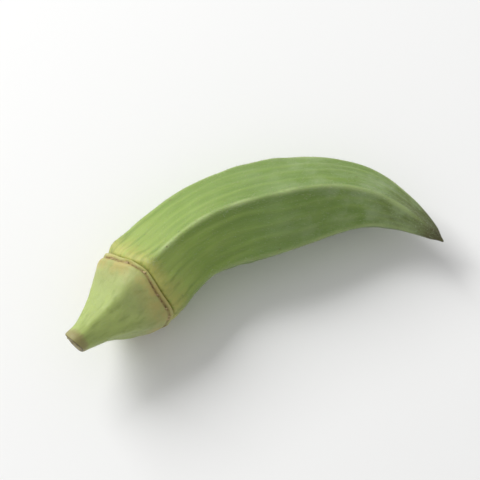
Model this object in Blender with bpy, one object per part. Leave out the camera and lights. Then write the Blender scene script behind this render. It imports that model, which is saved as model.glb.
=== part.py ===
"""A fresh okra pod as picked: a five-ridged pod with its cap and a stub of stalk, lying on its side.

Run with: blender --background --python part.py

Metres, +Z up. The pod lies on the plane Z = 0, on the middle of one of its five faces and on its swollen
base beside the cap. Its chord runs along X, with the stalk at -X and the tip at +X, it arches towards +Y,
and the origin is under the middle of its bounding box.
"""

import math

import bmesh
import bpy
from mathutils import Matrix, Vector

MM = 0.001

# Distances along the pod are measured on its centreline from the scar ring, where the cap meets the
# pod: positive towards the tip, negative towards the cut end of the stalk.
POD_LENGTH = 59 * MM
CAP_LENGTH = 15 * MM
SEAM_GAP = 0.3 * MM
RIDGES = 5
RIDGE_STEP = 2 * math.pi / RIDGES
TOP_RIDGE = math.pi / 2

# (distance in mm, heading in degrees) seen from above: nearly straight behind the cap, hooked at the tip.
HEADING = ((-15, 46), (0, 49), (8, 45), (16, 29), (24, 17), (34, 13), (40, 2), (48, -21), (59, -40))
# (distance, height of the centreline over the surface it lies on), both in mm. The stalk points up.
HEIGHT = (
    (-15, 13.2), (-9, 10.9), (-4, 9.05), (0, 7.9), (4, 7.45),
    (12, 7.35), (25, 7.3), (34, 7.2), (46, 7.1), (59, 7),
)
# (distance, distance from the centreline out to a ridge), both in mm.
POD_RADIUS = (
    (0, 8.15), (2.5, 8.5), (6, 8.25), (11, 8.05), (18, 8.55), (25, 8.85),
    (33, 8.2), (41, 6.45), (49, 4), (55, 2.1), (59, 0.65),
)
CAP_RADIUS = (
    (-15, 2.2), (-13, 2.6), (-11, 3.25), (-8.8, 4.05), (-6.6, 5.2),
    (-4.6, 6.5), (-2.8, 7.5), (-1.3, 8), (0, 8.1),
)
# (distance in mm, how sharp the ridges are): near 3 the section is round, and at 14 it is a five-sided
# figure with rounded corners.
RIDGE_SHARPNESS = ((-15, 4), (-8, 5), (0, 4), (6, 10), (14, 14), (50, 14), (59, 6))

RING_BEAD = 0.25 * MM
RING_BEAD_WIDTH = 0.6 * MM
STALK_RIM_BEVEL = 0.25 * MM
TIP_ROUNDING = 0.55 * MM
TIP_END_SHARE = 0.45

POINTS_AROUND = 40
POD_STATIONS = 44
CAP_STATIONS = 24
SPINE_STEP = 0.5 * MM
SHARP_EDGE = math.radians(40)
TRIM_TOLERANCE = 1e-7


def smooth(table, along):
    """Value at a distance along in metres, from pairs in a table joined by smooth cubic pieces."""
    at = along / MM
    if at <= table[0][0]:
        return table[0][1]
    if at >= table[-1][0]:
        return table[-1][1]
    k = next(i for i in range(len(table) - 1) if at <= table[i + 1][0])

    def slope(i):
        before, after = table[max(i - 1, 0)], table[min(i + 1, len(table) - 1)]
        return (after[1] - before[1]) / (after[0] - before[0])

    (x0, y0), (x1, y1) = table[k], table[k + 1]
    span = x1 - x0
    t = (at - x0) / span
    return (
        y0 * (1 + 2 * t) * (1 - t) ** 2
        + y1 * (3 - 2 * t) * t**2
        + span * slope(k) * t * (1 - t) ** 2
        + span * slope(k + 1) * (t - 1) * t**2
    )


def spine_point(along):
    """Point of the centreline: short steps along the heading, from the ring at X = Y = 0."""
    steps = max(1, math.ceil(abs(along) / SPINE_STEP))
    step = along / steps
    headings = [math.radians(smooth(HEADING, step * (i + 0.5))) for i in range(steps)]
    x = step * sum(math.cos(heading) for heading in headings)
    y = step * sum(math.sin(heading) for heading in headings)
    return Vector((x, y, smooth(HEIGHT, along) * MM))


def spine_axes(along):
    """Two unit vectors square to the centreline: one level, pointing to the arch's outer side, one up."""
    tangent = (spine_point(along + SPINE_STEP) - spine_point(along - SPINE_STEP)).normalized()
    level = Vector((0, 0, 1)).cross(tangent).normalized()
    return level, tangent.cross(level)


def section_radius(angle, ridge_radius, sharpness):
    """Distance from the centreline out to the skin, round a five-sided section with rounded corners.

    Each face pulls the skin in to its own flat plane, and a power sum of the five rounds the corners.
    """

    def pull(direction):
        faces = (math.cos(direction - TOP_RIDGE - (k + 0.5) * RIDGE_STEP) for k in range(RIDGES))
        return sum(max(face, 0) ** sharpness for face in faces) ** (-1 / sharpness)

    return ridge_radius * pull(angle) / pull(TOP_RIDGE)


def ring_bead(along):
    """Height of the raised scar ring over the rim of the cap."""
    reach = min(1, abs(along + RING_BEAD_WIDTH) / RING_BEAD_WIDTH)
    return RING_BEAD * (1 - reach**2)


def skin_loop(mesh, along, ridge_radius, sharpness):
    """Adds one closed loop of the skin at a distance along, and returns its edges."""
    centre = spine_point(along)
    level, up = spine_axes(along)
    loop = []
    for i in range(POINTS_AROUND):
        angle = TOP_RIDGE + 2 * math.pi * i / POINTS_AROUND
        radius = section_radius(angle, ridge_radius, sharpness)
        loop.append(mesh.verts.new(centre + radius * (math.cos(angle) * level + math.sin(angle) * up)))
    return [mesh.edges.new((loop[i - 1], loop[i])) for i in range(POINTS_AROUND)]


def trim_underside(mesh):
    """Cuts the underside off level where it would pass below the surface that the pod lies on."""
    everything = mesh.verts[:] + mesh.edges[:] + mesh.faces[:]
    cut = bmesh.ops.bisect_plane(
        mesh, geom=everything, dist=TRIM_TOLERANCE, plane_co=(0, 0, 0), plane_no=(0, 0, -1), clear_outer=True
    )
    rim = [item for item in cut["geom_cut"] if isinstance(item, bmesh.types.BMEdge)]
    bmesh.ops.edgenet_fill(mesh, edges=rim)


def lofted(name, stations):
    """Mesh skinned over loops at the stations, each (along, ridge radius, sharpness), with flat ends."""
    mesh = bmesh.new()
    loops = [skin_loop(mesh, *station) for station in stations]
    for first, second in zip(loops, loops[1:]):
        bmesh.ops.bridge_loops(mesh, edges=first + second)
    for end in (loops[0], loops[-1]):
        bmesh.ops.edgeloop_fill(mesh, edges=end)
    trim_underside(mesh)
    bmesh.ops.triangulate(mesh, faces=[face for face in mesh.faces if len(face.verts) > 4])
    bmesh.ops.recalc_face_normals(mesh, faces=mesh.faces)
    made = bpy.data.meshes.new(name)
    mesh.to_mesh(made)
    mesh.free()
    return made


def evenly(first, last, count):
    """Distances from the first to the last, evenly spaced."""
    return [first + (last - first) * i / (count - 1) for i in range(count)]


def pod_mesh():
    """The ridged pod, from its base at the ring to its tip."""
    stations = []
    for along in evenly(SEAM_GAP / 2, POD_LENGTH, POD_STATIONS):
        stations.append((along, smooth(POD_RADIUS, along) * MM, smooth(RIDGE_SHARPNESS, along)))
    along, radius, sharpness = stations[-1]
    stations.append((along + TIP_ROUNDING, radius * TIP_END_SHARE, sharpness))
    return lofted("pod", stations)


def cap_mesh():
    """The cap and the stub of stalk that it narrows into, from the stalk's cut end to the ring."""
    stations = []
    for along in evenly(-CAP_LENGTH, -SEAM_GAP / 2, CAP_STATIONS):
        radius = smooth(CAP_RADIUS, along) * MM + ring_bead(along)
        stations.append((along, radius, smooth(RIDGE_SHARPNESS, along)))
    along, radius, sharpness = stations[0]
    stations.insert(0, (along - STALK_RIM_BEVEL, radius - STALK_RIM_BEVEL, sharpness))
    return lofted("cap_and_stalk", stations)


def plain_material(name, colour, roughness):
    """A non-metal material of one colour."""
    material = bpy.data.materials.new(name)
    material.use_nodes = True
    shader = material.node_tree.nodes["Principled BSDF"]
    shader.inputs["Base Color"].default_value = (*colour, 1)
    shader.inputs["Roughness"].default_value = roughness
    shader.inputs["Metallic"].default_value = 0
    return material


def add_piece(name, mesh, material, parent):
    """An object of this mesh, smooth apart from its sharp rims, held by the parent."""
    mesh.materials.append(material)
    mesh.shade_smooth()
    mesh.set_sharp_from_angle(angle=SHARP_EDGE)
    piece = bpy.data.objects.new(name, mesh)
    piece.parent = parent
    bpy.context.scene.collection.objects.link(piece)
    return piece


def centre_over_origin(pieces, parent):
    """Turns the parent so that the pod's chord runs along X, and puts its bounding box over the origin."""
    chord = spine_point(POD_LENGTH) - spine_point(-CAP_LENGTH)
    turn = Matrix.Rotation(-math.atan2(chord.y, chord.x), 4, "Z")
    points = [turn @ vertex.co for piece in pieces for vertex in piece.data.vertices]
    for axis in range(2):
        values = [point[axis] for point in points]
        parent.location[axis] = -(min(values) + max(values)) / 2
    parent.rotation_euler = turn.to_euler()


def main():
    for old in list(bpy.data.objects):
        bpy.data.objects.remove(old)
    whole = bpy.data.objects.new("okra_pod", None)
    bpy.context.scene.collection.objects.link(whole)
    pod_green = plain_material("pod_green", (0.20, 0.32, 0.07), 0.5)
    cap_green = plain_material("cap_green", (0.42, 0.48, 0.17), 0.6)
    pieces = [
        add_piece("pod", pod_mesh(), pod_green, whole),
        add_piece("cap_and_stalk", cap_mesh(), cap_green, whole),
    ]
    centre_over_origin(pieces, whole)


if __name__ == "__main__":
    main()
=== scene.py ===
"""A fresh okra pod, as picked, lying on a table: its grown skins, scar ring, dry scraps and down.

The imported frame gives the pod's place and size. Each visible piece is a surface of two numbers: how far
along the pod, measured on its centreline from the scar ring where the cap meets the pod (towards the
tip is positive), and the direction round it. Lengths are in millimetres until a mesh is filled.
"""

import logging
import math
from abc import ABC, abstractmethod
from collections.abc import Mapping, Sequence
from dataclasses import dataclass, replace
from enum import Enum
from typing import Any

import bpy
import numpy as np
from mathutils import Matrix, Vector
from numpy.typing import NDArray

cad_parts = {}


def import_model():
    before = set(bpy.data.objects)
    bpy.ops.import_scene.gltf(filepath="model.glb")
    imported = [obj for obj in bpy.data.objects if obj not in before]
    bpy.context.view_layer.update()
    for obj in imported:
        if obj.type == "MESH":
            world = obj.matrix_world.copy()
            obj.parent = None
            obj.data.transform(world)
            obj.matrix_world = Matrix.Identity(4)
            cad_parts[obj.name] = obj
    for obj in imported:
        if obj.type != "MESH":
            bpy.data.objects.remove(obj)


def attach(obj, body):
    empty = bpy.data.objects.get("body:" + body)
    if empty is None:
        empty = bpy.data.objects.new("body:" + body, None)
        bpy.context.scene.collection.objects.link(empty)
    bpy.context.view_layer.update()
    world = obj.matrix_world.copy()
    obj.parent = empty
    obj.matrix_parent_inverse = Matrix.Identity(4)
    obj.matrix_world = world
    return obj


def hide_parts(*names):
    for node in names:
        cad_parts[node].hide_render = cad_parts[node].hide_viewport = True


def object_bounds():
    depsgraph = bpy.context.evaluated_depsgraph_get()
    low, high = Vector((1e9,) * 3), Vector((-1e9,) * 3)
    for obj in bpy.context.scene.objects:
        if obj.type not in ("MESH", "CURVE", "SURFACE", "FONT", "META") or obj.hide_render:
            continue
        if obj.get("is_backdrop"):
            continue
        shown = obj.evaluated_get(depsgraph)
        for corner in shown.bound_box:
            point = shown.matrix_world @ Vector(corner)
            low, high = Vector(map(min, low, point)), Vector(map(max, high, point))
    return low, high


MM = 0.001
Array = NDArray[np.float64]
Stretch = tuple[float, float]
Axes = tuple[float, float, float]
Colour = tuple[float, float, float]
log = logging.getLogger("okra_pod")


class Solid(Enum):
    """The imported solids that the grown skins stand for."""

    POD = "pod"
    CAP = "cap_and_stalk"


class Slot(Enum):
    """The record's finishes."""

    POD = "pod_skin"
    CAP = "cap_skin"


# ---------------------------------------------------------------- shape of growth


def bell(distance: Array, width: float | Array) -> Array:
    """A smooth bump, 1 at its middle and 1/e at a width from it: exp(-(distance / width)^2)."""
    return np.exp(-((distance / width) ** 2))


def rise(value: Array, start: float, end: float) -> Array:
    """A smooth step, 3t^2 - 2t^3, with t from 0 at start to 1 at end; end may be less than start."""
    t = np.clip((value - start) / (end - start), 0, 1)
    return t * t * (3 - 2 * t)


@dataclass(frozen=True)
class Table:
    """Values at a few distances along the pod, joined by smooth cubic pieces."""

    pairs: tuple[tuple[float, float], ...]

    def at(self, along: Array) -> Array:
        """Cubic Hermite pieces whose slope at each entry is that between its neighbours.

        Args:
            along: Distances along the pod.

        Returns:
            The value at each distance, held at its last entry past either end.
        """
        x, y = np.array(self.pairs, dtype=float).T
        entry = np.arange(len(x))
        before, after = np.maximum(entry - 1, 0), np.minimum(entry + 1, len(x) - 1)
        slope = (y[after] - y[before]) / (x[after] - x[before])
        held = np.clip(along, x[0], x[-1])
        k = np.clip(np.searchsorted(x, held, side="right") - 1, 0, len(x) - 2)
        span = x[k + 1] - x[k]
        t = (held - x[k]) / span
        level = y[k] * (1 + 2 * t) * (1 - t) ** 2 + y[k + 1] * (3 - 2 * t) * t**2
        return level + span * (slope[k] * t * (1 - t) ** 2 + slope[k + 1] * (t - 1) * t**2)


@dataclass(frozen=True)
class Swell:
    """Uneven growth: waves along and round the pod, added up with seeded sizes and phases."""

    seed: int
    shortest: float
    longest: float
    most_round: int
    waves: int = 18

    def at(self, along: Array, around: Array) -> Array:
        """The sum of size * cos(2 pi along / length + rounds * around + phase) over the waves.

        Args:
            along: Distances along the pod.
            around: Directions round it, in radians.

        Returns:
            Heights with a root mean square of 1.
        """
        draw = np.random.default_rng(self.seed)
        lengths = np.exp(draw.uniform(math.log(self.shortest), math.log(self.longest), self.waves))
        rounds = draw.integers(-self.most_round, self.most_round + 1, self.waves)
        phases = draw.uniform(0, 2 * math.pi, self.waves)
        sizes = draw.uniform(0.4, 1, self.waves)
        sizes /= math.sqrt(np.sum(sizes**2) / 2)
        total = np.zeros(np.broadcast(along, around).shape)
        for length, turns, phase, size in zip(lengths, rounds, phases, sizes):
            total += size * np.cos(2 * math.pi * along / length + turns * around + phase)
        return total

    def share(self, along: Array, around: Array) -> Array:
        """The same swell as a share that stays mostly between 0 and 1: 0.5 + 0.28 * swell."""
        return 0.5 + 0.28 * self.at(along, around)


@dataclass(frozen=True)
class Section:
    """The five-sided section: how far the skin stands from the centreline in each direction."""

    ridges: int = 5
    top: float = math.pi / 2

    @property
    def step(self) -> float:
        """Angle from one ridge to the next."""
        return 2 * math.pi / self.ridges

    def pull(self, around: Array | float, sharpness: Array) -> Array:
        """Distance to five flat faces a unit away, their corners rounded by a power sum.

        Args:
            around: Directions round the pod.
            sharpness: The power: near 3 the section is round, and at 14 it has clear ridges.

        Returns:
            Distances from the centreline.
        """
        total = 0
        for k in range(self.ridges):
            face = np.cos(around - self.top - (k + 0.5) * self.step)
            total = total + np.maximum(face, 0) ** sharpness
        return total ** (-1 / sharpness)

    def radius(self, around: Array, ridge_radius: Array, sharpness: Array) -> Array:
        """The section scaled so that its ridges stand ridge_radius from the centreline."""
        return ridge_radius * self.pull(around, sharpness) / self.pull(self.top, sharpness)

    def wave(self, crests: int, around: Array, turn: float = 0.0) -> Array:
        """A wave round the pod with a crest on the top ridge: cos(crests (around - top) + turn)."""
        return np.cos(crests * (around - self.top) + turn)

    def off_ridge(self, around: Array) -> Array:
        """Signed angle from the nearest ridge: the remainder of around after whole steps."""
        return (around - self.top + self.step / 2) % self.step - self.step / 2

    def gathered(self, count: int, pull: float) -> Array:
        """Directions once round, closer at the ridges: t - pull / ridges * sin(ridges (t - top))."""
        t = self.top + 2 * math.pi * np.arange(count) / count
        return t - pull / self.ridges * np.sin(self.ridges * (t - self.top))


@dataclass(frozen=True)
class Seam:
    """How the scar ring and the seam beside it wander to and fro, carrying both skins with them."""

    section: Section = Section()
    dip: float = 0.26
    drift: float = 0.17
    reach: float = 3.5
    swell: Swell = Swell(seed=5, shortest=7, longest=26, most_round=3)

    def shift(self, along: Array, around: Array) -> Array:
        """Distances towards the tip: a wave with a crest on each ridge, and a drift, fading with distance."""
        wave = self.dip * self.section.wave(self.section.ridges, around)
        return (wave + self.drift * self.swell.at(0 * along, around)) * bell(along, self.reach)


@dataclass(frozen=True)
class Spine:
    """The pod's centreline, nearly straight behind the cap and hooked at the tip, and where it lies."""

    heading: Table = Table(
        ((-15, 46), (0, 49), (8, 45), (16, 29), (24, 17), (34, 13), (40, 2), (48, -21), (59, -40))
    )
    height: Table = Table(
        (
            (-15, 13.2), (-9, 10.9), (-4, 9.05), (0, 7.9), (4, 7.45),
            (12, 7.35), (25, 7.3), (34, 7.2), (46, 7.1), (59, 7),
        )
    )
    cut_end: float = -15
    tip_end: float = 59
    reach: float = 6
    walk: float = 0.05
    half_step: float = 0.5
    shift: tuple[float, float] = (0, 0)

    def ground(self, along: Array) -> tuple[Array, Array]:
        """Where the centreline passes over the table: short steps along the heading, added up.

        Args:
            along: Distances along the pod.

        Returns:
            X and Y, turned so that the chord from the cut end to the tip runs along X.
        """
        marks = np.arange(self.cut_end - self.reach, self.tip_end + self.reach, self.walk)
        angle = np.radians(self.heading.at(marks[:-1] + self.walk / 2))
        x = np.concatenate(([0], np.cumsum(np.cos(angle)))) * self.walk
        y = np.concatenate(([0], np.cumsum(np.sin(angle)))) * self.walk
        ends = [self.cut_end, self.tip_end]
        chord = math.atan2(*(np.diff(np.interp(ends, marks, values))[0] for values in (y, x)))
        east = x * math.cos(chord) + y * math.sin(chord)
        north = y * math.cos(chord) - x * math.sin(chord)
        return np.interp(along, marks, east) + self.shift[0], np.interp(along, marks, north) + self.shift[1]

    def points(self, along: Array) -> Array:
        """Points of the centreline, with X, Y and Z on a last axis."""
        x, y = self.ground(along)
        return np.stack([x, y, self.height.at(along)], axis=-1)

    def axes(self, along: Array) -> tuple[Array, Array, Array]:
        """Three unit vectors: along the centreline, level across it, and up across it.

        Args:
            along: Distances along the pod.

        Returns:
            The tangent t, then z x t made a unit vector, then t x (z x t).
        """
        tangent = self.points(along + self.half_step) - self.points(along - self.half_step)
        tangent /= np.linalg.norm(tangent, axis=-1, keepdims=True)
        level = np.cross((0.0, 0.0, 1.0), tangent)
        level /= np.linalg.norm(level, axis=-1, keepdims=True)
        return tangent, level, np.cross(tangent, level)

    def skin(self, along: Array, around: Array, radius: Array) -> Array:
        """Points a radius out from the centreline: centre + radius (cos around level + sin around up).

        Args:
            along: Distances along the pod.
            around: Directions round it.
            radius: Distance out from the centreline.

        Returns:
            Points, with X, Y and Z on a last axis.
        """
        _, level, up = self.axes(along)
        out = np.cos(around)[..., None] * level + np.sin(around)[..., None] * up
        return self.points(along) + radius[..., None] * out

    @staticmethod
    def rested(points: Array, give: float = 0.12) -> Array:
        """Flattens what would pass below the table: z becomes (z + sqrt(z^2 + give^2)) / 2.

        Args:
            points: Points of a skin.
            give: How gradually the skin meets the table.

        Returns:
            The same points, none of them below Z = 0.
        """
        settled = points.copy()
        z = points[..., 2]
        settled[..., 2] = (z + np.sqrt(z**2 + give**2)) / 2
        return settled

    @staticmethod
    def straightened(along: Array, around: Array, radius: Array) -> Array:
        """Where a point of the skin would be if the pod were straight: a pattern's coordinates."""
        along, around, radius = np.broadcast_arrays(along, around, radius)
        return np.stack([along, radius * np.cos(around), radius * np.sin(around)], axis=-1)


# ---------------------------------------------------------------- meshes


def fill_mesh(name: str, points: Array, polygons: Sequence[NDArray[np.int64]]) -> bpy.types.Mesh:
    """A smooth-shaded mesh from whole arrays.

    Args:
        name: The mesh's name.
        points: Its vertices in millimetres, one a row.
        polygons: Arrays of vertex numbers, one polygon a row, each array with one corner count.

    Returns:
        The mesh, in metres.
    """
    corners = np.concatenate([rows.ravel() for rows in polygons])
    sizes = np.concatenate([np.full(len(rows), rows.shape[1]) for rows in polygons])
    mesh = bpy.data.meshes.new(name)
    mesh.vertices.add(len(points))
    mesh.vertices.foreach_set("co", (points * MM).astype(np.float32).ravel())
    mesh.loops.add(len(corners))
    mesh.loops.foreach_set("vertex_index", corners.astype(np.int32))
    mesh.polygons.add(len(sizes))
    mesh.polygons.foreach_set("loop_start", (np.cumsum(sizes) - sizes).astype(np.int32))
    mesh.update(calc_edges=True)
    mesh.validate()
    mesh.shade_smooth()
    return mesh


def mark_mesh(mesh: bpy.types.Mesh, name: str, values: Array) -> None:
    """Stores a number, or three, for each vertex, for the finish to read.

    Args:
        mesh: The mesh to mark.
        name: The attribute's name.
        values: One number a vertex, or one row of three.
    """
    flat = values.ndim == 1
    attribute = mesh.attributes.new(name, "FLOAT" if flat else "FLOAT_VECTOR", "POINT")
    attribute.data.foreach_set("value" if flat else "vector", values.astype(np.float32).ravel())


def closed_skin(name: str, rings: Array, marks: Mapping[str, Array]) -> bpy.types.Mesh:
    """A skin over rings of points, closed by a pole in the middle of the first and of the last ring.

    Args:
        name: The mesh's name.
        rings: Points in rows, one ring a row, each going once round anticlockwise seen from the end.
        marks: Values for the finish at each point, by name, in the same rows.

    Returns:
        The closed mesh, with its faces pointing out.
    """
    count, around = rings.shape[:2]
    number = np.arange(count * around).reshape(count, around)
    ahead = np.roll(number, -1, axis=1)
    quads = np.stack([number[:-1], ahead[:-1], ahead[1:], number[1:]], axis=-1).reshape(-1, 4)
    first, last = np.full(around, count * around), np.full(around, count * around + 1)
    fans = np.concatenate(
        [np.stack([first, ahead[0], number[0]], axis=-1), np.stack([last, number[-1], ahead[-1]], axis=-1)]
    )

    def with_poles(values: Array) -> Array:
        """The values in one column, with the mean of the first ring and of the last one added."""
        rows = values.reshape(count * around, *values.shape[2:])
        return np.concatenate([rows, values[:1].mean(axis=1), values[-1:].mean(axis=1)])

    mesh = fill_mesh(name, with_poles(rings), [quads, fans])
    for mark, values in marks.items():
        mark_mesh(mesh, mark, with_poles(values))
    return mesh


def place_piece(mesh: bpy.types.Mesh, finish: bpy.types.Material) -> bpy.types.Object:
    """Puts a mesh in the scene as a piece of the pod.

    Args:
        mesh: The piece's mesh, already in place.
        finish: Its material.

    Returns:
        The piece, riding on the frame.
    """
    mesh.materials.append(finish)
    piece = bpy.data.objects.new(mesh.name, mesh)
    bpy.context.scene.collection.objects.link(piece)
    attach(piece, "root")
    log.info("%s: %d faces", piece.name, len(mesh.polygons))
    return piece


# ---------------------------------------------------------------- the pod


@dataclass(frozen=True)
class GrownSkin(ABC):
    """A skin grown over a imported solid, whose own sizes are the two tables, and laid on the table."""

    spine: Spine
    ridge_radius: Table
    sharpness: Table
    slow: Swell
    brisk: Swell
    slow_height: float
    brisk_height: float
    patch_squeeze: float
    section: Section = Section()
    seam: Seam = Seam()

    def plain_radius(self, along: Array, around: Array) -> Array:
        """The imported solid's own radius: the rounded five-sided section at each distance."""
        return self.section.radius(around, self.ridge_radius.at(along), self.sharpness.at(along))

    def uneven(self, along: Array, around: Array) -> Array:
        """Uneven growth in millimetres: the slow and the brisk swell, each times its height."""
        slow = self.slow_height * self.slow.at(along, around)
        return slow + self.brisk_height * self.brisk.at(along, around)

    def patchy(self, along: Array, around: Array) -> Array:
        """Patches for the finish: the slow swell, squeezed along the pod, as a share."""
        return self.slow.share(along * self.patch_squeeze, around)

    @abstractmethod
    def radius(self, along: Array, around: Array) -> Array:
        """The grown radius, which each skin works out from its own relief."""

    def laid(self, along: Array, around: Array, radius: Array) -> Array:
        """Points a radius out from the centreline, carried along with the seam and resting on the table."""
        placed = along + self.seam.shift(along, around)
        return self.spine.rested(self.spine.skin(placed, around, radius))

    def surface(self, along: Array, around: Array) -> Array:
        """Points of the grown skin."""
        return self.laid(along, around, self.radius(along, around))


@dataclass(frozen=True)
class PodSkin(GrownSkin):
    """The ridged skin of the pod, from its tucked-in base at the scar ring to its dry point.

    Heights, widths and reaches are in millimetres. A start or an end is the pair of distances along the
    pod between which a feature fades in or out. Vein places and widths are shares of half a face.
    """

    ridge_radius: Table = Table(
        (
            (0, 8.15), (2.5, 8.5), (6, 8.25), (11, 8.05), (18, 8.55), (25, 8.85),
            (33, 8.2), (41, 6.45), (49, 4), (55, 2.1), (59, 0.65),
        )
    )
    sharpness: Table = Table(((0, 4), (6, 10), (14, 14), (50, 14), (59, 6)))
    widest: float = 8.85
    taper_power: float = 0.8
    base: float = 0.15
    point_end: float = 59.7
    point_length: float = 2.2
    point_share: float = 0.72
    last_row: float = 0.02
    rows: int = 400
    around: int = 236
    ridge_pull: float = 0.42
    row_pull: float = 0.10
    rib_height: float = 0.2
    rib_width: float = 0.55
    rib_at_base: float = 0.35
    rib_start: Stretch = (1, 8)
    rib_end: Stretch = (59, 51)
    groove_depth: float = 0.1
    groove_at: float = 1.5
    groove_width: float = 0.7
    groove_start: Stretch = (3, 12)
    vein_places: tuple[float, ...] = (-0.52, -0.05, 0.47)
    vein_height: float = 0.05
    vein_width: float = 0.075
    vein_drift: float = 0.035
    vein_stagger: float = 40
    vein_start: Stretch = (0.5, 4)
    seed_spacing: float = 4.6
    seed_height: float = 0.07
    seed_width: float = 0.26
    seed_stagger: float = 2.4
    seed_start: Stretch = (9, 15)
    seed_end: Stretch = (50, 42)
    slow_height: float = 0.09
    brisk_height: float = 0.028
    uneven_start: Stretch = (0, 4)
    patch_squeeze: float = 2.2
    base_ribs: int = 10
    base_rib_height: float = 0.16
    base_rib_reach: float = 6
    base_rib_start: Stretch = (0.2, 1.6)
    bulge_height: float = 0.10
    bulge_at: float = 2.2
    bulge_width: float = 1.4
    tuck: float = 0.6
    tuck_reach: float = 0.3
    slow: Swell = Swell(seed=3, shortest=14, longest=44, most_round=3)
    brisk: Swell = Swell(seed=8, shortest=3.5, longest=9, most_round=6, waves=26)
    wander: Swell = Swell(seed=21, shortest=9, longest=30, most_round=0)

    def taper(self, along: Array) -> Array:
        """Share of full size that the skin's relief has: it shrinks with the pod towards the tip."""
        return (self.ridge_radius.at(along) / self.widest) ** self.taper_power

    def rib(self, along: Array, around: Array) -> Array:
        """How much of a rib there is: a bump of rib_width about each ridge, fading in from the base.

        Args:
            along: Distances along the pod.
            around: Directions round it.

        Returns:
            Shares, 1 on a grown ridge.
        """
        arc = self.section.off_ridge(around) * self.ridge_radius.at(along)
        grown = self.rib_at_base + (1 - self.rib_at_base) * rise(along, *self.rib_start)
        return bell(arc, self.rib_width) * grown

    def veins(self, along: Array, around: Array) -> Array:
        """How much of a vein there is: fine lines that wander a little along each face.

        Args:
            along: Distances along the pod.
            around: Directions round it.

        Returns:
            Bumps of vein_width at vein_places, as shares of the way from a face's middle to its ridge.
        """
        across = (self.section.off_ridge(around) / (self.section.step / 2)) % 2 - 1
        total = np.zeros(np.broadcast(along, around).shape)
        for number, place in enumerate(self.vein_places):
            drift = self.vein_drift * self.wander.at(along + self.vein_stagger * number, 0 * around)
            total += bell(across - place - drift, self.vein_width)
        return total * rise(along, *self.vein_start)

    def relief(self, along: Array, around: Array) -> Array:
        """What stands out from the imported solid: ribs, grooves beside them, veins, seeds and swells.

        Args:
            along: Distances along the pod.
            around: Directions round it.

        Returns:
            Heights in millimetres.
        """
        off_ridge = np.abs(self.section.off_ridge(around))
        arc = off_ridge * self.ridge_radius.at(along)
        ribs = self.rib_height * self.rib(along, around)
        beside = bell(arc - self.groove_at, self.groove_width) * rise(along, *self.groove_start)
        grooves = -self.groove_depth * beside
        veins = self.vein_height * self.veins(along, around)
        face = bell(off_ridge - self.section.step / 2, self.seed_width)
        chamber = np.floor((around - self.section.top) / self.section.step)
        seeds = 0.5 + 0.5 * np.cos(2 * math.pi * along / self.seed_spacing + self.seed_stagger * chamber)
        filled = rise(along, *self.seed_start) * rise(along, *self.seed_end)
        swollen = self.seed_height * seeds * face * filled
        uneven = self.uneven(along, around) * rise(along, *self.uneven_start)
        return self.taper(along) * (ribs + grooves + veins + swollen + uneven)

    def collar(self, along: Array, around: Array) -> Array:
        """The base: tucked in under the ring, a soft bulge, and ten short ribs that fan out of it.

        Args:
            along: Distances along the pod.
            around: Directions round it.

        Returns:
            Heights in millimetres.
        """
        tucked = -self.tuck * np.exp(-(along - self.base) / self.tuck_reach)
        bulge = self.bulge_height * bell(along - self.bulge_at, self.bulge_width)
        fan = self.section.wave(self.base_ribs, around) * np.exp(-along / self.base_rib_reach)
        return tucked + bulge + self.base_rib_height * fan * rise(along, *self.base_rib_start)

    def dry_point(self, along: Array) -> Array:
        """Share of the radius that is left where the flower's style dried to a thin blunt point.

        Args:
            along: Distances along the pod.

        Returns:
            sqrt(t (2 - t)), thinned evenly to point_share, with t from 1 to 0 over the last point_length.
        """
        left = np.clip((self.point_end - along) / self.point_length, 0, 1)
        thinned = self.point_share + (1 - self.point_share) * left
        return np.sqrt(left * (2 - left)) * thinned

    def radius(self, along: Array, around: Array) -> Array:
        """The grown radius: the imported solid's, with the relief, the collar and the dry point."""
        grown = self.plain_radius(along, around) + self.relief(along, around) + self.collar(along, around)
        return self.dry_point(along) * grown

    def grid(self) -> tuple[Array, Array]:
        """What the skin is worked out on: rows closer near both ends, and closer at the ridges.

        Returns:
            Distances along the pod in a column, and directions round it in a row.
        """
        t = np.linspace(0, 1, self.rows)
        eased = t - self.row_pull * np.sin(2 * math.pi * t)
        along = self.base + (self.point_end - self.last_row - self.base) * eased
        return along[:, None], self.section.gathered(self.around, self.ridge_pull)[None, :]

    def mesh(self) -> bpy.types.Mesh:
        """The pod's closed skin.

        Returns:
            The mesh, marked with what its finish reads.
        """
        along, around = self.grid()
        radius = self.radius(along, around)
        marks = {
            "straight": self.spine.straightened(along, around, radius),
            "rib": self.rib(along, around) * rise(along, *self.rib_end),
            "vein": self.veins(along, around),
            "patchy": self.patchy(along, around),
        }
        return closed_skin("pod_skin", self.laid(along, around, radius), marks)


# ---------------------------------------------------------------- the cap and stalk


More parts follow.
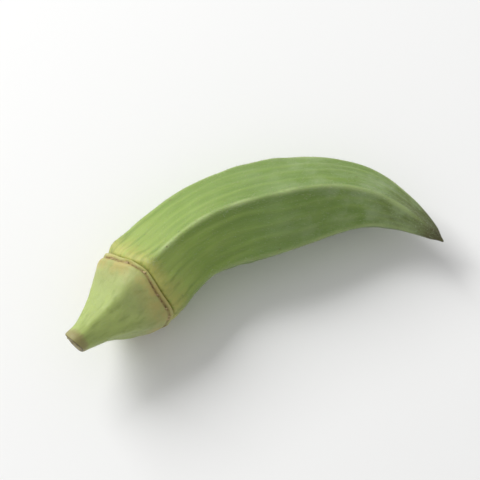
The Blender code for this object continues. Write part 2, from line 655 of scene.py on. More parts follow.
@dataclass(frozen=True)
class CapSkin(GrownSkin):
    """The cap, its scar ring and the cut stalk, as one skin whose profile starts on the cut face.

    Heights, depths and widths are in millimetres, and an "at" is a distance along the pod. On the cut
    face, "at" and the widths are shares of the way out from its middle.
    """

    ridge_radius: Table = Table(
        (
            (-15, 2.2), (-13, 2.6), (-11, 3.25), (-8.8, 4.05), (-6.6, 5.2),
            (-4.6, 6.5), (-2.8, 7.5), (-1.3, 8), (0, 8.1),
        )
    )
    sharpness: Table = Table(((-15, 4), (-8, 5), (0, 4)))
    cut: float = -15.25
    end: float = -0.15
    rim: float = 0.3
    cut_rows: int = 30
    rim_rows: int = 8
    side_rows: int = 250
    lip_rows: int = 6
    lip_tuck: float = 0.5
    middle_gap: float = 0.03
    around: int = 236
    ridge_pull: float = 0.2
    slant: float = math.radians(9)
    slant_towards: float = math.radians(250)
    slant_start: float = -14
    flute_height: float = 0.24
    flute_at: float = -5.2
    flute_reach: float = 3.6
    rib_height: float = 0.07
    rib_at: float = -7
    rib_reach: float = 4
    rib_turn: float = 0.4
    slow_height: float = 0.10
    brisk_height: float = 0.03
    stalk_uneven: float = 0.3
    uneven_start: Stretch = (0, -2)
    patch_squeeze: float = 1.7
    scar_middle: float = -1.15
    scar_depth: float = 0.16
    scar_width: float = 0.30
    scar_unevenness: float = 0.08
    scar_stain: float = 0.42
    lip_height: float = 0.17
    lip_at: float = -0.42
    lip_width: float = 0.26
    lip_stain: float = 0.24
    lip_worn: float = 0.25
    lip_wear: Stretch = (-0.9, 0.6)
    shoulder_height: float = 0.14
    shoulder_at: float = -2.1
    shoulder_width: float = 0.6
    roughness: float = 0.28
    jag: float = 0.1
    pith_depth: float = 0.42
    pith_width: float = 0.42
    wood_height: float = 0.12
    wood_at: float = 0.7
    wood_width: float = 0.13
    wood_rays: int = 11
    torn_height: float = 0.045
    face_end: Stretch = (1.2, 0.9)
    slow: Swell = Swell(seed=5, shortest=7, longest=26, most_round=3)
    brisk: Swell = Swell(seed=14, shortest=1.6, longest=5, most_round=9, waves=26)
    ragged: Swell = Swell(seed=33, shortest=4, longest=9, most_round=15, waves=34)

    def ring_place(self, along: Array, around: Array) -> Array:
        """Distance along, pushed to and fro round the ring so that its edges come out jagged."""
        return along - self.jag * self.ragged.at(0 * along, around)

    def scar(self, along: Array, around: Array) -> Array:
        """How much of the scar there is: a band where the flower's leaves tore off."""
        return bell(self.ring_place(along, around) - self.scar_middle, self.scar_stain)

    def ring(self, along: Array, around: Array) -> Array:
        """The scar ring: a soft shoulder, a sunken torn band and a thin raised lip.

        Args:
            along: Distances along the pod.
            around: Directions round it.

        Returns:
            Heights in millimetres.
        """
        at = self.ring_place(along, around)
        rough = 1 + self.roughness * self.ragged.at(along * 2, around)
        uneven_width = self.scar_width + self.scar_unevenness * self.ragged.at(along * 0, around)
        shoulder = self.shoulder_height * bell(at - self.shoulder_at, self.shoulder_width)
        sunk = -self.scar_depth * bell(at - self.scar_middle, uneven_width) * rough
        lip = self.lip_height * bell(at - self.lip_at, self.lip_width) * rough * self.kept_lip(around)
        return shoulder + sunk + lip

    def kept_lip(self, around: Array) -> Array:
        """How much of the lip is left in each direction, from lip_worn where it wore off to 1."""
        kept = rise(self.slow.at(np.array(9.0), 2 * around + 1), *self.lip_wear)
        return self.lip_worn + (1 - self.lip_worn) * kept

    def relief(self, along: Array, around: Array) -> Array:
        """Five soft flutes that run into the pod's ridges, ten fine ribs, and swells.

        Args:
            along: Distances along the pod.
            around: Directions round it.

        Returns:
            Heights in millimetres.
        """
        five = self.section.wave(self.section.ridges, around)
        ten = self.section.wave(2 * self.section.ridges, around, self.rib_turn)
        flutes = self.flute_height * five * bell(along - self.flute_at, self.flute_reach)
        ribs = self.rib_height * ten * bell(along - self.rib_at, self.rib_reach)
        size = self.ridge_radius.at(along) / self.ridge_radius.pairs[-1][1]
        calmer = self.stalk_uneven + (1 - self.stalk_uneven) * size
        return flutes + ribs + self.uneven(along, around) * calmer * rise(along, *self.uneven_start)

    def profile(self) -> tuple[Array, Array, Array]:
        """The profile's rows: over the cut face, round its rim, along the side and in under the lip.

        Returns:
            Distance along, share of the radius, and how far out on the cut face each row is: from 0 at
            its middle to 1 at its rim, and more on the side.
        """
        rim_share = 1 - self.rim / self.ridge_radius.at(np.array(self.cut))
        face = np.linspace(self.middle_gap, 1, self.cut_rows)
        turn = np.linspace(0, math.pi / 2, self.rim_rows + 1)[1:]
        side = np.linspace(self.cut + self.rim, self.end, self.side_rows + 1)[1:]
        tucked = np.linspace(1, self.lip_tuck, self.lip_rows + 1)[1:]
        round_rim = self.cut + self.rim * (1 - np.cos(turn))
        rim_radius = 1 - (1 - rim_share) * (1 - np.sin(turn))
        along = np.concatenate(
            [np.full(self.cut_rows, self.cut), round_rim, side, np.full(self.lip_rows, self.end)]
        )
        share = np.concatenate([face * rim_share, rim_radius, np.ones(self.side_rows), tucked])
        outward = np.concatenate([face, 1 + 0.3 * turn, np.full(self.side_rows + self.lip_rows, 2.0)])
        return along[:, None], share[:, None], outward[:, None]

    def cut_face(self, outward: Array, around: Array) -> Array:
        """How far the cut face lies behind a level cut: a shrunken pith inside a firmer ring.

        Args:
            outward: How far out on the cut face, from 0 to 1, and more on the side.
            around: Directions round it.

        Returns:
            Distances towards the pod, fading out past the rim.
        """
        pith = self.pith_depth * bell(outward, self.pith_width)
        rays = 1 + 0.5 * np.cos(self.wood_rays * around)
        wood = -self.wood_height * bell(outward - self.wood_at, self.wood_width) * rays
        torn = self.torn_height * self.ragged.at(outward * 9, around)
        return (pith + wood + torn) * rise(outward, *self.face_end)

    def radius(self, along: Array, around: Array) -> Array:
        """The grown radius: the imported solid's, with the relief and the ring."""
        return self.plain_radius(along, around) + self.relief(along, around) + self.ring(along, around)

    def mesh(self) -> bpy.types.Mesh:
        """The cap's closed skin, its cut end slanted.

        Returns:
            The mesh, marked with what its finish reads.
        """
        along, share, outward = self.profile()
        around = self.section.gathered(self.around, self.ridge_pull)[None, :]
        radius = share * self.radius(along, around)
        slope = math.tan(self.slant) * radius * np.cos(around - self.slant_towards)
        placed = along + slope * rise(along, self.slant_start, self.cut) + self.cut_face(outward, around)
        marks = {
            "straight": self.spine.straightened(placed, around, radius),
            "scar": self.scar(along, around) * (share == 1),
            "lip": bell(self.ring_place(along, around) - self.lip_at, self.lip_stain) * self.kept_lip(around),
            "outward": outward + 0 * radius,
            "patchy": self.patchy(along, around),
        }
        return closed_skin("cap_skin", self.laid(placed, around, radius), marks)


# ---------------------------------------------------------------- dry scraps and down


@dataclass(frozen=True)
class DryScraps:
    """Torn scraps of the flower's leaves, still fixed in the scar: thin curled scales."""

    cap: CapSkin
    count: int = 24
    seed: int = 12
    rows: int = 7
    columns: int = 5
    length: tuple[float, float] = (0.3, 0.9)
    width: tuple[float, float] = (0.3, 0.8)
    lift: tuple[float, float] = (0.12, 0.42)
    skew: float = 0.5
    set_back: float = 0.25
    scatter: float = 0.15
    side_tear: float = 0.22
    end_tear: float = 0.12
    narrowing: float = 0.75
    cupping: float = 0.35
    sunk: float = 0.12
    thickness: float = 0.09
    thinning: float = 0.6

    def mesh(self) -> bpy.types.Mesh:
        """Each scrap is two faces over a small grid of (out, across), sewn at their rims.

        Its middle line leaves the scar and bends outward: height = lift * out^0.7 and along = length * out.
        Its width narrows as 1 - narrowing * out^2, and its sides and end are torn in waves.

        Returns:
            One mesh that holds every scrap as a closed shell.
        """
        draw = np.random.default_rng(self.seed)
        shape = (self.count, 1, 1)
        where = draw.uniform(0, 2 * math.pi, shape)
        length = draw.uniform(*self.length, shape)
        width = draw.uniform(*self.width, shape)
        lift = draw.uniform(*self.lift, shape)
        skew = draw.uniform(-self.skew, self.skew, shape)
        out = np.linspace(0, 1, self.rows)[None, :, None]
        across = np.linspace(-1, 1, self.columns)[None, None, :]
        torn = 1 + self.side_tear * np.sin(9 * out + 20 * where + 2.5 * across)
        half = width / 2 * (1 - self.narrowing * out**2) * torn
        arc = across * half + skew * length * out
        start = self.cap.scar_middle - self.set_back + draw.uniform(-self.scatter, self.scatter, shape)
        along = start + length * out * (1 + self.end_tear * np.cos(14 * across + 9 * where))
        ground = self.cap.plain_radius(start, where)
        around = where + arc / ground
        skin = ground - self.sunk + lift * out**0.7 * (1 - self.cupping * across**2)
        half_thick = self.thickness / 2 * (1 - self.thinning * out) + 0 * across
        shells = [self.cap.laid(along, around, skin + side * half_thick) for side in (1, -1)]
        points = np.stack(shells, axis=1)
        offsets = 2 * self.rows * self.columns * np.arange(self.count)[:, None, None]
        mesh = fill_mesh("dry_scraps", points.reshape(-1, 3), [(self.sewn() + offsets).reshape(-1, 4)])
        tint = np.broadcast_to(draw.uniform(0, 1, shape)[:, None], (self.count, 2, self.rows, self.columns))
        mark_mesh(mesh, "tint", tint.ravel())
        return mesh

    def sewn(self) -> NDArray[np.int64]:
        """One scrap's polygons: its outer face, its inner face turned over, and the rim between them.

        Returns:
            Numbers of four vertices a row.
        """
        outer = np.arange(self.rows * self.columns).reshape(self.rows, self.columns)
        inner = outer + self.rows * self.columns

        def patch(grid: NDArray[np.int64]) -> NDArray[np.int64]:
            """The grid's squares."""
            corners = [grid[:-1, :-1], grid[:-1, 1:], grid[1:, 1:], grid[1:, :-1]]
            return np.stack(corners, axis=-1).reshape(-1, 4)

        def rim(grid: NDArray[np.int64]) -> NDArray[np.int64]:
            """The grid's outer vertices, once round."""
            return np.concatenate([grid[0, :-1], grid[:-1, -1], grid[-1, :0:-1], grid[:0:-1, 0]])

        top, under = rim(outer), rim(inner)
        side = np.stack([np.roll(top, -1), top, under, np.roll(under, -1)], axis=-1)
        return np.concatenate([patch(outer), patch(inner)[:, ::-1], side])


@dataclass(frozen=True)
class Down:
    """Short stiff hairs that lean towards the tip: thick along the ridges and thin on the faces."""

    pod: PodSkin
    cap: CapSkin
    pod_hairs: int = 9000
    cap_hairs: int = 1500
    ridge_share: float = 0.55
    seed: int = 27
    pod_start: float = 1.2
    bare_tip: float = 1.5
    cap_stretch: Stretch = (-13.5, -2.6)
    ridge_spread: float = 0.75
    length: tuple[float, float] = (0.18, 0.5)
    lean: tuple[float, float] = (0.7, 1.25)
    stray: float = 0.35
    cap_size: float = 0.7
    tip_size: float = 0.45
    knee_up: float = 0.55
    knee_forward: float = 0.40
    knee_thick: float = 0.6
    thinnest: float = 0.6
    root_radius: float = 0.02
    root_depth: float = 0.03
    clearance: float = 0.7
    step: float = 0.05

    def roots(self, surface: PodSkin | CapSkin, along: Array, around: Array) -> tuple[Array, Array, Array]:
        """Where hairs grow and which way is out and forward there, from small steps on the skin.

        Args:
            surface: The skin that they grow on.
            along: Distances along the pod.
            around: Directions round it.

        Returns:
            Root points, unit normals and unit vectors forward along the skin.
        """
        turn = self.step / 8
        root = surface.surface(along, around)
        forward = surface.surface(along + self.step, around) - surface.surface(along - self.step, around)
        sideways = surface.surface(along, around + turn) - surface.surface(along, around - turn)
        normal = np.cross(sideways, forward)
        normal /= np.linalg.norm(normal, axis=-1, keepdims=True)
        forward /= np.linalg.norm(forward, axis=-1, keepdims=True)
        return root, normal, forward

    def scattered(self, draw: np.random.Generator) -> tuple[Array, Array, Array, Array]:
        """Roots, normals and forward directions of every hair, and its size as a share.

        Args:
            draw: The source of random numbers.

        Returns:
            Arrays with one hair a row, without those that would grow into the table.
        """
        along = draw.uniform(self.pod_start, self.pod.point_end - self.bare_tip, self.pod_hairs)
        anywhere = draw.uniform(0, 2 * math.pi, self.pod_hairs)
        section = self.pod.section
        ridge = section.top + section.step * draw.integers(0, section.ridges, self.pod_hairs)
        beside = draw.normal(0, self.ridge_spread, self.pod_hairs) / self.pod.ridge_radius.at(along)
        around = np.where(draw.uniform(0, 1, self.pod_hairs) < self.ridge_share, ridge + beside, anywhere)
        pod = self.roots(self.pod, along, around)
        cap_along = draw.uniform(*self.cap_stretch, self.cap_hairs)
        cap_around = draw.uniform(0, 2 * math.pi, self.cap_hairs)
        cap = self.roots(self.cap, cap_along, cap_around)
        root, normal, forward = (np.concatenate(pair) for pair in zip(pod, cap))
        pod_size = self.tip_size + (1 - self.tip_size) * self.pod.taper(along)
        size = np.concatenate([pod_size, np.full(self.cap_hairs, self.cap_size)])
        clear = root[:, 2] > self.clearance
        return root[clear], normal[clear], forward[clear], size[clear]

    def mesh(self) -> bpy.types.Mesh:
        """Each hair is a three-sided spike with one bend, its foot just inside the skin.

        Its tip is root + length (normal cos lean + forward sin lean). The knee is about halfway there and
        a little more upright, and the hair thins to knee_thick of its radius there and to nothing at the tip.

        Returns:
            One mesh that holds every hair as a closed spike.
        """
        draw = np.random.default_rng(self.seed)
        root, normal, forward, size = self.scattered(draw)
        count = len(root)
        length = (size * draw.uniform(*self.length, count))[:, None]
        lean = draw.uniform(*self.lean, count)[:, None]
        stray = draw.normal(0, self.stray, count)[:, None]
        side = np.cross(normal, forward)
        towards = forward + stray * side
        towards /= np.linalg.norm(towards, axis=-1, keepdims=True)
        turns = 2 * math.pi * np.arange(3) / 3
        ring = np.cos(turns)[None, :, None] * towards[:, None] + np.sin(turns)[None, :, None] * side[:, None]
        foot = root - self.root_depth * normal
        upright, forwards = np.cos(lean) * normal, np.sin(lean) * towards
        knee = root + length * (self.knee_up * upright + self.knee_forward * forwards)
        tip = root + length * (upright + forwards)
        thick = self.root_radius * (self.thinnest + (1 - self.thinnest) * size)[:, None, None]
        rings = [foot[:, None] + thick * ring, knee[:, None] + self.knee_thick * thick * ring, tip[:, None]]
        points = np.concatenate(rings, axis=1)
        base = points.shape[1] * np.arange(count)[:, None, None]
        triangles = np.array([[0, 2, 1], [3, 4, 6], [4, 5, 6], [5, 3, 6]])
        quads = np.array([[0, 1, 4, 3], [1, 2, 5, 4], [2, 0, 3, 5]])
        polygons = [(quads + base).reshape(-1, 4), (triangles + base).reshape(-1, 3)]
        return fill_mesh("down", points.reshape(-1, 3), polygons)


# ---------------------------------------------------------------- finishes


class Signal:
    """A shader socket that takes part in sums: each sum adds the Math nodes that work it out."""

    def __init__(self, recipe: "Recipe", socket: bpy.types.NodeSocket) -> None:
        """Wraps a node's output."""
        self.recipe = recipe
        self.socket = socket

    def maths(self, operation: str, *values: "Signal | float") -> "Signal":
        """A Math node's output, its inputs given in order."""
        return self.recipe.node("ShaderNodeMath", {"operation": operation}, dict(enumerate(values)))

    def __add__(self, other: "Signal | float") -> "Signal":
        """The sum."""
        return self.maths("ADD", self, other)

    def __radd__(self, other: float) -> "Signal":
        """The sum, the number first."""
        return self.maths("ADD", other, self)

    def __sub__(self, other: "Signal | float") -> "Signal":
        """The difference."""
        return self.maths("SUBTRACT", self, other)

    def __rsub__(self, other: float) -> "Signal":
        """The difference, the number first."""
        return self.maths("SUBTRACT", other, self)

    def __mul__(self, other: "Signal | float") -> "Signal":
        """The product."""
        return self.maths("MULTIPLY", self, other)

    def __rmul__(self, other: float) -> "Signal":
        """The product, the number first."""
        return self.maths("MULTIPLY", other, self)

    def step(self, start: float, end: float) -> "Signal":
        """A smooth step from 0 at start to 1 at end; for a step down, start is the greater.

        Args:
            start: Value at which it leaves 0.
            end: Value at which it reaches 1.

        Returns:
            A number from 0 to 1.
        """
        low, high, at_low = (start, end, 0.0) if start < end else (end, start, 1.0)
        sockets = {0: self, 1: low, 2: high, 3: at_low, 4: 1.0 - at_low}
        return self.recipe.node("ShaderNodeMapRange", {"interpolation_type": "SMOOTHSTEP"}, sockets)


class Recipe:
    """A material's nodes while they are being put together."""

    def __init__(self, name: str) -> None:
        """Starts a material with its shader.

        Args:
            name: The material's name.
        """
        self.material = bpy.data.materials.new(name)
        self.material.use_nodes = True
        self.nodes = self.material.node_tree.nodes
        self.links = self.material.node_tree.links
        self.shader = self.nodes["Principled BSDF"]

    def set_socket(self, socket: bpy.types.NodeSocket, value: Any) -> None:
        """Links a signal to an input, or sets the input to a number, colour or vector.

        Args:
            socket: The input.
            value: What it gets.
        """
        if isinstance(value, Signal):
            self.links.new(value.socket, socket)
        elif isinstance(value, tuple) and socket.type == "RGBA":
            socket.default_value = (*value[:3], 1.0)
        else:
            socket.default_value = value

    def node(
        self,
        kind: str,
        settings: Mapping[str, Any] | None = None,
        sockets: Mapping[int | str, Any] | None = None,
        output: int | str = 0,
    ) -> Signal:
        """Adds a node, sets it up and feeds it.

        Args:
            kind: The node's type.
            settings: Its settings, put in first. A ramp's "stops" are pairs of place and colour.
            sockets: What its inputs get, by number or name.
            output: Which of its outputs to hand on.

        Returns:
            That output.
        """
        made = self.nodes.new(kind)
        for name, value in (settings or {}).items():
            if name == "stops":
                elements = made.color_ramp.elements
                while len(elements) < len(value):
                    elements.new(1.0)
                for element, (place, colour) in zip(elements, value):
                    element.position = place
                    element.color = (*colour, 1.0)
            else:
                setattr(made, name, value)
        for name, value in (sockets or {}).items():
            self.set_socket(made.inputs[name], value)
        return Signal(self, made.outputs[output])

    def mark(self, name: str, vector: bool = False) -> Signal:
        """What a mesh was marked with under this name: a number, or three as a vector."""
        settings = {"attribute_name": name}
        return self.node("ShaderNodeAttribute", settings, output="Vector" if vector else "Fac")

    def noise(
        self,
        place: Signal,
        scale: float | Axes,
        detail: float = 3.0,
        roughness: float = 0.55,
        shift: float = 0.0,
    ) -> Signal:
        """A noise pattern from 0 to 1.

        Args:
            place: Where it is read.
            scale: Its spots to a unit of place, or such a number for each axis.
            detail: How many finer layers it has.
            roughness: How strong they are.
            shift: Added to each axis, so that two patterns on one scale differ.

        Returns:
            The pattern.
        """
        if isinstance(scale, tuple):
            sockets = {0: place, 1: scale, 2: (shift, shift, shift)}
            place = self.node("ShaderNodeVectorMath", {"operation": "MULTIPLY_ADD"}, sockets)
            scale = 1.0
        sockets = {"Vector": place, "Scale": scale, "Detail": detail, "Roughness": roughness}
        return self.node("ShaderNodeTexNoise", None, sockets)

    def dots(self, place: Signal, scale: float, size: float) -> Signal:
        """Round dots, 1 inside: so many to a millimetre, their radius a share of their spacing."""
        sockets = {"Vector": place, "Scale": scale, "Randomness": 1.0}
        return self.node("ShaderNodeTexVoronoi", None, sockets).step(size, size * 0.45)

    def blend(self, share: Signal | float, first: Signal | Colour, second: Signal | Colour) -> Signal:
        """A colour between two: the first where share is 0 and the second where it is 1."""
        settings = {"data_type": "RGBA", "clamp_factor": True}
        return self.node("ShaderNodeMix", settings, {0: share, 6: first, 7: second}, output=2)

    def layered(self, tone: Signal, layers: Sequence[tuple[Signal, Colour]]) -> Signal:
        """Colours laid over a tone one after another, each by its share.

        Args:
            tone: The colour underneath.
            layers: Each layer's share and colour, the lowest first.

        Returns:
            The colour that is seen.
        """
        for share, colour in layers:
            tone = self.blend(share, tone, colour)
        return tone

    def ramp(self, value: Signal, stops: Sequence[tuple[float, Colour]]) -> Signal:
        """The colour at a value, read off a row of places and their colours."""
        return self.node("ShaderNodeValToRGB", {"stops": stops}, {0: value})

    def bump(self, height: Signal, depth: float, strength: float = 1.0) -> Signal:
        """A normal that reads as fine relief, where a height of 1 is so many millimetres deep."""
        sockets = {"Height": height, "Distance": depth * MM, "Strength": strength}
        return self.node("ShaderNodeBump", None, sockets)

    def finish(self, **values: Any) -> bpy.types.Material:
        """Feeds the shader and hands over the material.

        Args:
            values: What its inputs get, by name, with _ for a space.

        Returns:
            The material.
        """
        for name, value in values.items():
            self.set_socket(self.shader.inputs[name.replace("_", " ")], value)
        return self.material


@dataclass(frozen=True)
class PodFinish:
    """Downy green skin: yellower by the ring, paler along the ribs, with fine streaks and flecks."""

    collar: Colour = (0.42, 0.42, 0.105)
    young: Colour = (0.27, 0.36, 0.075)
    fresh: Colour = (0.20, 0.30, 0.05)
    green: Colour = (0.155, 0.245, 0.048)
    olive: Colour = (0.12, 0.155, 0.045)
    dry: Colour = (0.065, 0.055, 0.02)
    bloom: Colour = (0.27, 0.355, 0.165)
    rib: Colour = (0.34, 0.43, 0.165)
    vein: Colour = (0.30, 0.41, 0.09)
    shade: Colour = (0.10, 0.18, 0.025)
    fleck: Colour = (0.36, 0.43, 0.20)
    bruise: Colour = (0.13, 0.10, 0.035)
    length: float = 59

    def make(self) -> bpy.types.Material:
        """Puts the finish together.

        Returns:
            The material.
        """
        r = Recipe("pod_skin")
        place = r.mark("straight", vector=True)
        rib, vein, patchy = r.mark("rib"), r.mark("vein"), r.mark("patchy")
        along = r.node("ShaderNodeSeparateXYZ", None, {0: place}) * (1 / self.length)
        near_ring = along.step(0.42, 0.03)
        body = along.step(0.99, 0.86)
        drift = r.noise(place, (0.175, 0.315, 0.315), 2.0) - 0.5
        streaks = r.noise(place, (0.045, 1.05, 1.05), 2.0, 0.45)
        fine = r.noise(place, (0.30, 3.0, 3.0), 3.0, 0.6, shift=7.0)
        cloud = r.noise(place, (0.20, 0.28, 0.28), 4.0, 0.6, shift=3.0)
        scuffs = r.noise(place, (0.55, 1.4, 1.4), 4.0, 0.7, shift=11.0)
        grain = r.noise(place, 5.5, 2.0)
        flecks = r.dots(place, 1.15, 0.15)
        spots = r.dots(place, 0.34, 0.085)
        tone = r.ramp(along + drift * 0.07, self.stops())
        layers = (
            (streaks.step(0.48, 0.74) * (0.16 + near_ring * 0.50) * body, self.vein),
            (streaks.step(0.52, 0.24) * (0.30 + near_ring * 0.25) * body, self.shade),
            (fine.step(0.42, 0.78) * 0.16, self.bloom),
            (cloud.step(0.38, 0.68) * along.step(0.28, 0.78) * body * 0.80, self.bloom),
            (vein * 0.16, self.vein),
            (rib.step(0.08, 0.95) * (0.30 + patchy * 0.5), self.rib),
            (flecks * 0.40, self.fleck),
            (spots * patchy.step(0.4, 0.7) * 0.75, self.bruise),
            (scuffs.step(0.66, 0.74) * (0.25 + rib * 0.5), self.bruise),
        )
        return r.finish(
            Base_Color=r.layered(tone, layers),
            Roughness=0.45 + fine * 0.22,
            Normal=r.bump(fine * 0.45 + grain * 0.35 + streaks * 0.3 + flecks * 0.35, 0.10, 0.7),
            Subsurface_Weight=0.10,
            Subsurface_Radius=(0.5, 1.0, 0.25),
            Subsurface_Scale=0.0012,
            Sheen_Weight=0.10,
            Sheen_Roughness=0.45,
            Specular_IOR_Level=0.40,
        )

    def stops(self) -> tuple[tuple[float, Colour], ...]:
        """The plain tone at shares of the pod's length, from the ring to the dry tip."""
        near = ((0.0, self.collar), (0.03, self.collar), (0.09, self.young), (0.19, self.fresh))
        return (*near, (0.42, self.green), (0.76, self.green), (0.88, self.olive), (0.98, self.dry))


@dataclass(frozen=True)
class CapFinish:
    """Pale yellow-green skin, tan towards the scar ring, and the dry brown face of the cut stalk."""

    pale: Colour = (0.33, 0.385, 0.13)
    stalk: Colour = (0.34, 0.42, 0.12)
    shade: Colour = (0.20, 0.26, 0.05)
    straw: Colour = (0.43, 0.36, 0.115)
    scar: Colour = (0.22, 0.145, 0.045)
    deep: Colour = (0.10, 0.06, 0.02)
    lip: Colour = (0.44, 0.42, 0.14)
    pith: Colour = (0.40, 0.36, 0.19)
    wood: Colour = (0.26, 0.20, 0.085)
    rim: Colour = (0.10, 0.075, 0.03)

    def make(self) -> bpy.types.Material:
        """Puts the finish together.

        Returns:
            The material.
        """
        r = Recipe("cap_skin")
        place = r.mark("straight", vector=True)
        scar, lip, outward, patchy = r.mark("scar"), r.mark("lip"), r.mark("outward"), r.mark("patchy")
        along = r.node("ShaderNodeSeparateXYZ", None, {0: place})
        streaks = r.noise(place, (0.10, 1.1, 1.1), 2.0, 0.5, shift=5.0)
        fine = r.noise(place, (0.6, 3.0, 3.0), 3.0, 0.6, shift=2.0)
        torn = r.noise(place, (2.2, 1.5, 1.5), 4.0, 0.7)
        cloud = r.noise(place, 0.33, 3.0)
        grain = r.noise(place, 5.0, 2.0)
        spots = r.dots(place, 0.40, 0.06)
        dried = (along + (fine - 0.5) * 1.6).step(-13.9, -14.9)
        cut_face = outward.step(1.35, 1.1)
        tone = r.blend(along.step(-9.0, -4.0), self.stalk, self.pale)
        layers = (
            (streaks.step(0.54, 0.26) * 0.45, self.shade),
            (streaks.step(0.50, 0.72) * 0.35, self.stalk),
            (along.step(-5.5, -1.4) * (0.30 + cloud.step(0.38, 0.60) * 0.65), self.straw),
            (fine.step(0.55, 0.8) * 0.30, self.lip),
            (spots * patchy.step(0.35, 0.65) * 0.6, self.scar),
            (lip * 0.7, self.lip),
            (scar.step(0.15, 0.95) * (0.40 + torn.step(0.35, 0.65) * 0.55), self.scar),
            (scar.step(0.7, 1.0) * torn.step(0.5, 0.7) * 0.8, self.deep),
            (dried * 0.75, self.wood),
        )
        side = r.layered(tone, layers)
        return r.finish(
            Base_Color=r.blend(cut_face, side, r.ramp(outward * 0.8 + (torn - 0.5) * 0.12, self.stops())),
            Roughness=0.46 + fine * 0.18 + scar * 0.2,
            Normal=r.bump(fine * 0.5 + grain * 0.3 + torn * scar * 1.2 + streaks * 0.3, 0.12, 0.8),
            Subsurface_Weight=0.15,
            Subsurface_Radius=(0.8, 1.0, 0.3),
            Subsurface_Scale=0.0012,
            Sheen_Weight=0.1,
            Sheen_Roughness=0.5,
            Specular_IOR_Level=0.42,
        )

    def stops(self) -> tuple[tuple[float, Colour], ...]:
        """The cut face's tone at shares of the way out from its middle."""
        inner = ((0.0, self.rim), (0.12, self.pith), (0.42, self.wood))
        return (*inner, (0.58, self.pith), (0.72, self.wood), (0.82, self.rim))


@dataclass(frozen=True)
class ScrapFinish:
    """Dry papery scraps, from straw to brown."""

    straw: Colour = (0.48, 0.38, 0.18)
    brown: Colour = (0.17, 0.095, 0.04)

    def make(self) -> bpy.types.Material:
        """Puts the finish together.

        Returns:
            The material.
        """
        r = Recipe("dry_scraps")
        place = r.node("ShaderNodeTexCoord", output="Object")
        fibres = r.noise(place, 1400.0, 3.0)
        tone = r.blend(r.mark("tint") * 0.7 + (fibres - 0.4) * 0.8, self.straw, self.brown)
        return r.finish(Base_Color=tone, Roughness=0.75, Normal=r.bump(fibres, 0.05))


@dataclass(frozen=True)
class DownFinish:
    """Pale hairs, some duller than others."""

    colour: Colour = (0.50, 0.58, 0.36)
    dull: Colour = (0.36, 0.43, 0.22)

    def make(self) -> bpy.types.Material:
        """Puts the finish together.

        Returns:
            The material.
        """
        r = Recipe("down")
        place = r.node("ShaderNodeTexCoord", output="Object")
        tone = r.blend(r.noise(place, 260.0).step(0.35, 0.65), self.dull, self.colour)
        return r.finish(Base_Color=tone, Roughness=0.6, Subsurface_Weight=0.2, Subsurface_Scale=0.0004)


# ---------------------------------------------------------------- the studio


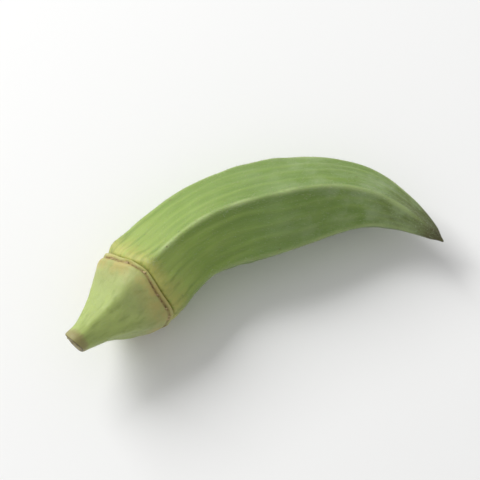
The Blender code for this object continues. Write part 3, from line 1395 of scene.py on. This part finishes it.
@dataclass(frozen=True)
class Studio:
    """A pale table, soft light from the upper left and a camera that looks down on the pod."""

    azimuth: float = math.radians(-18)
    elevation: float = math.radians(72)
    distance: float = 0.46
    lens: float = 200
    sensor: float = 36
    floor_size: float = 4
    floor_colour: Colour = (0.86, 0.86, 0.855)
    sky: float = 0.52
    key_turn: float = math.radians(48)
    key_height: float = math.radians(38)
    key_distance: float = 0.9
    key_size: float = 0.5
    key_power: float = 7.8

    @staticmethod
    def direction(turn: float, height: float) -> Vector:
        """The unit vector that points a turn to the left of Y and a height above the table."""
        level = math.cos(height)
        return Vector((-math.sin(turn) * level, math.cos(turn) * level, math.sin(height)))

    @staticmethod
    def stand(name: str, data: bpy.types.ID) -> bpy.types.Object:
        """Puts a new object in the scene.

        Args:
            name: The object's name.
            data: What it is: a mesh, a light or a camera.

        Returns:
            The object.
        """
        made = bpy.data.objects.new(name, data)
        bpy.context.scene.collection.objects.link(made)
        return made

    def floor(self) -> None:
        """The table top: one flat, plain, pale square."""
        half = self.floor_size / 2 / MM
        corners = np.array([[-half, -half, 0], [half, -half, 0], [half, half, 0], [-half, half, 0]])
        mesh = fill_mesh("table_top", corners, [np.array([[0, 1, 2, 3]])])
        mesh.materials.append(Recipe("table_top").finish(Base_Color=self.floor_colour, Roughness=0.6))
        self.stand("table_top", mesh)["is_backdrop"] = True

    def key_light(self) -> None:
        """A square soft light, to the left of straight behind the pod as the camera sees it."""
        lamp = bpy.data.lights.new("window", "AREA")
        lamp.energy = self.key_power
        lamp.size = self.key_size
        towards = self.direction(self.key_turn + self.azimuth, self.key_height)
        light = self.stand("window", lamp)
        light.location = towards * self.key_distance
        light.rotation_euler = towards.to_track_quat("Z", "Y").to_euler()

    def world(self) -> None:
        """Even white light from all round."""
        world = bpy.data.worlds.new("soft_room")
        world.use_nodes = True
        background = world.node_tree.nodes["Background"]
        background.inputs["Color"].default_value = (1, 1, 1, 1)
        background.inputs["Strength"].default_value = self.sky
        bpy.context.scene.world = world

    def camera(self, target: Vector) -> None:
        """The scene's camera.

        Args:
            target: The point that it looks at.
        """
        lens = bpy.data.cameras.new("camera")
        lens.lens = self.lens
        lens.sensor_width = self.sensor
        back = self.direction(self.azimuth + math.pi, self.elevation)
        camera = self.stand("camera", lens)
        camera.location = target + back * self.distance
        camera.rotation_euler = back.to_track_quat("Z", "Y").to_euler()
        bpy.context.scene.camera = camera

    def build(self, target: Vector) -> None:
        """Sets up the table, the light, the camera and the way that colours are shown.

        Args:
            target: The point that the camera looks at.
        """
        self.floor()
        self.key_light()
        self.world()
        self.camera(target)
        bpy.context.scene.view_settings.view_transform = "Standard"


# ---------------------------------------------------------------- the whole pod


@dataclass(frozen=True)
class OkraPod:
    """The pod with its cap, scraps and down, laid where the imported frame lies."""

    low: Vector
    high: Vector

    def laid_spine(self) -> Spine:
        """The centreline, moved so that the plain skins' box has its middle where the frame's is.

        Returns:
            The moved centreline.
        """
        spine = Spine()
        around = np.linspace(0, 2 * math.pi, 121)[None, :]
        pod, cap = PodSkin(spine), CapSkin(spine)
        pod_along = np.linspace(pod.base, spine.tip_end, 200)[:, None]
        cap_along = np.linspace(cap.cut, cap.end, 80)[:, None]
        skins = [
            spine.skin(along, around, skin.plain_radius(along, around)).reshape(-1, 3)
            for skin, along in ((pod, pod_along), (cap, cap_along))
        ]
        points = np.concatenate(skins)
        middle = (points.min(axis=0) + points.max(axis=0)) / 2
        frame_middle = (self.low + self.high) / 2 / MM
        return replace(spine, shift=(frame_middle.x - middle[0], frame_middle.y - middle[1]))

    def build(self) -> None:
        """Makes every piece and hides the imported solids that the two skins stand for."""
        spine = self.laid_spine()
        pod, cap = PodSkin(spine), CapSkin(spine)
        pod_piece = place_piece(pod.mesh(), PodFinish().make())
        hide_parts(Solid.POD.value)
        cap_piece = place_piece(cap.mesh(), CapFinish().make())
        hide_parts(Solid.CAP.value)
        place_piece(DryScraps(cap).mesh(), ScrapFinish().make())
        place_piece(Down(pod, cap).mesh(), DownFinish().make())


def main() -> None:
    """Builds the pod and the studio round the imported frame."""
    logging.basicConfig(level=logging.INFO, format="%(name)s: %(message)s")
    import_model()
    low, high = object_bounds()
    OkraPod(low, high).build()
    Studio().build((low + high) / 2)
    bpy.context.view_layer.update()


if __name__ == "__main__":
    main()
